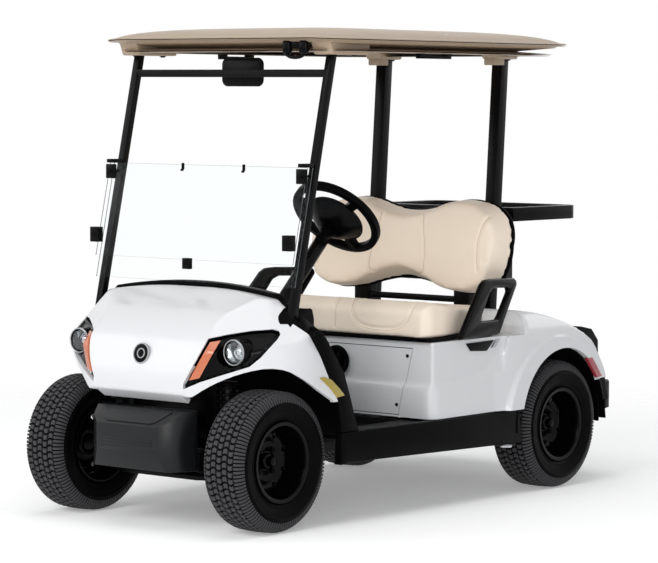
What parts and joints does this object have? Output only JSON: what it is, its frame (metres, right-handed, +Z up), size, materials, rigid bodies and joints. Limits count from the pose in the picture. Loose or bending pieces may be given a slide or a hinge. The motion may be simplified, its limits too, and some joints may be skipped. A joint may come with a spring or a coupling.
{
  "type": "golf cart",
  "caption": "Two-seat golf cart with a roof on four posts, folded windshield, bench seat, bag rack and bag well; the wheels roll, the front pair steers and the seat lifts.",
  "frame": {"origin": "on the floor at the middle of the bounding box", "axes": "+X to the driver's side, -Y to the front, +Z up"},
  "size_m": [1.2, 2.3839, 1.793],
  "materials": {
    "white_body": "high gloss moulded-in white",
    "black_trim": "fine textured black",
    "black_gloss": "satin black",
    "black_steel": "black powder coat",
    "wheel_steel": "gloss black enamel",
    "bare_steel": "plain",
    "roof_plastic": "satin tan",
    "seat_vinyl": "smooth beige vinyl",
    "clear_acrylic": "clear polished sheet",
    "lamp_lens": "clear moulded lens",
    "amber_lens": "amber lens",
    "red_lens": "red lens",
    "mirror_shell": "black shell",
    "mat_rubber": "ribbed black rubber",
    "tyre_rubber": "black tread",
    "engine_block": "plain block"
  },
  "bodies": {
    "chassis": {"frame_rails": "black_steel", "frame_members": "black_steel", "spring_towers": "black_steel", "tow_tab": "black_steel", "floor_pan": "black_trim", "front_cowl": "white_body", "headlamp_housings": "black_gloss", "headlamp_lenses": "lamp_lens", "turn_lenses": "amber_lens", "front_bumper": "black_trim", "side_trims": "black_trim", "rockers": "black_trim", "dash": "black_trim", "rear_body": "white_body", "access_panel": "white_body", "selector": "black_trim", "bag_well": "black_trim", "rear_bumper": "black_trim", "tail_lamps": "red_lens", "mud_flaps": "mat_rubber", "seat_hinges": "bare_steel", "backrest_cushion": "seat_vinyl", "backrest_panel": "black_trim", "backrest_brackets": "black_steel", "armrests": "black_trim", "roof": "roof_plastic", "roof_handles": "black_trim", "front_pillars": "black_steel", "mirror": "mirror_shell", "windshield": "clear_acrylic", "windshield_fittings": "black_trim", "rear_struts": "black_steel", "bag_rack": "black_trim", "basket": "black_steel", "engine": "engine_block", "rear_axle": "black_steel", "rear_suspension": "black_steel", "front_suspension": "black_steel", "steering_column": "black_steel", "pedals": "black_trim"},
    "seat": {"seat_pan": "black_trim", "seat_cushion": "seat_vinyl"},
    "knuckle_left": {"knuckle_left": "black_steel"},
    "knuckle_right": {"knuckle_right": "black_steel"},
    "steering_wheel": {"steering_wheel": "black_trim"},
    "steering_rack": {"steering_rack": "bare_steel"},
    "wheel_front_left": {"rim_front_left": "wheel_steel", "tyre_front_left": "tyre_rubber"},
    "wheel_front_right": {"rim_front_right": "wheel_steel", "tyre_front_right": "tyre_rubber"},
    "wheel_rear_left": {"rim_rear_left": "wheel_steel", "tyre_rear_left": "tyre_rubber"},
    "wheel_rear_right": {"rim_rear_right": "wheel_steel", "tyre_rear_right": "tyre_rubber"}
  },
  "joints": [
    {"name": "steer_left", "type": "hinge", "parent": "chassis", "child": "knuckle_left", "pos_m": [0.325, -0.94, 0.252], "axis": [0, 0, 1], "range_deg": [-28, 28]},
    {"name": "steer_right", "type": "hinge", "parent": "chassis", "child": "knuckle_right", "pos_m": [-0.325, -0.94, 0.252], "axis": [0, 0, 1], "range_deg": [-28, 28]},
    {"name": "steering_wheel_turn", "type": "hinge", "parent": "chassis", "child": "steering_wheel", "pos_m": [0.24, -0.305, 1.09], "axis": [0, 0.7193, 0.6947], "range_deg": [-280, 280]},
    {"name": "rack_slide", "type": "slide", "parent": "chassis", "child": "steering_rack", "axis": [1, 0, 0], "range_m": [-0.0495, 0.0495]},
    {"name": "spin_front_left", "type": "hinge", "parent": "knuckle_left", "child": "wheel_front_left", "pos_m": [0.435, -0.94, 0.252], "axis": [1, 0, 0], "continuous": true},
    {"name": "spin_front_right", "type": "hinge", "parent": "knuckle_right", "child": "wheel_front_right", "pos_m": [-0.435, -0.94, 0.252], "axis": [1, 0, 0], "continuous": true},
    {"name": "spin_rear_left", "type": "hinge", "parent": "chassis", "child": "wheel_rear_left", "pos_m": [0.49, 0.7, 0.252], "axis": [1, 0, 0], "continuous": true},
    {"name": "spin_rear_right", "type": "hinge", "parent": "chassis", "child": "wheel_rear_right", "pos_m": [-0.49, 0.7, 0.252], "axis": [1, 0, 0], "continuous": true},
    {"name": "seat_lift", "type": "hinge", "parent": "chassis", "child": "seat", "pos_m": [0, 0.296, 0.632], "axis": [-1, 0, 0], "range_deg": [0, 40]}
  ],
  "couplings": [
    {"joint": "steer_right", "follows": "steer_left", "ratio": 1},
    {"joint": "steering_wheel_turn", "follows": "steer_left", "ratio": 10},
    {"joint": "rack_slide", "follows": "steer_left", "m_per_rad": -0.1}
  ]
}
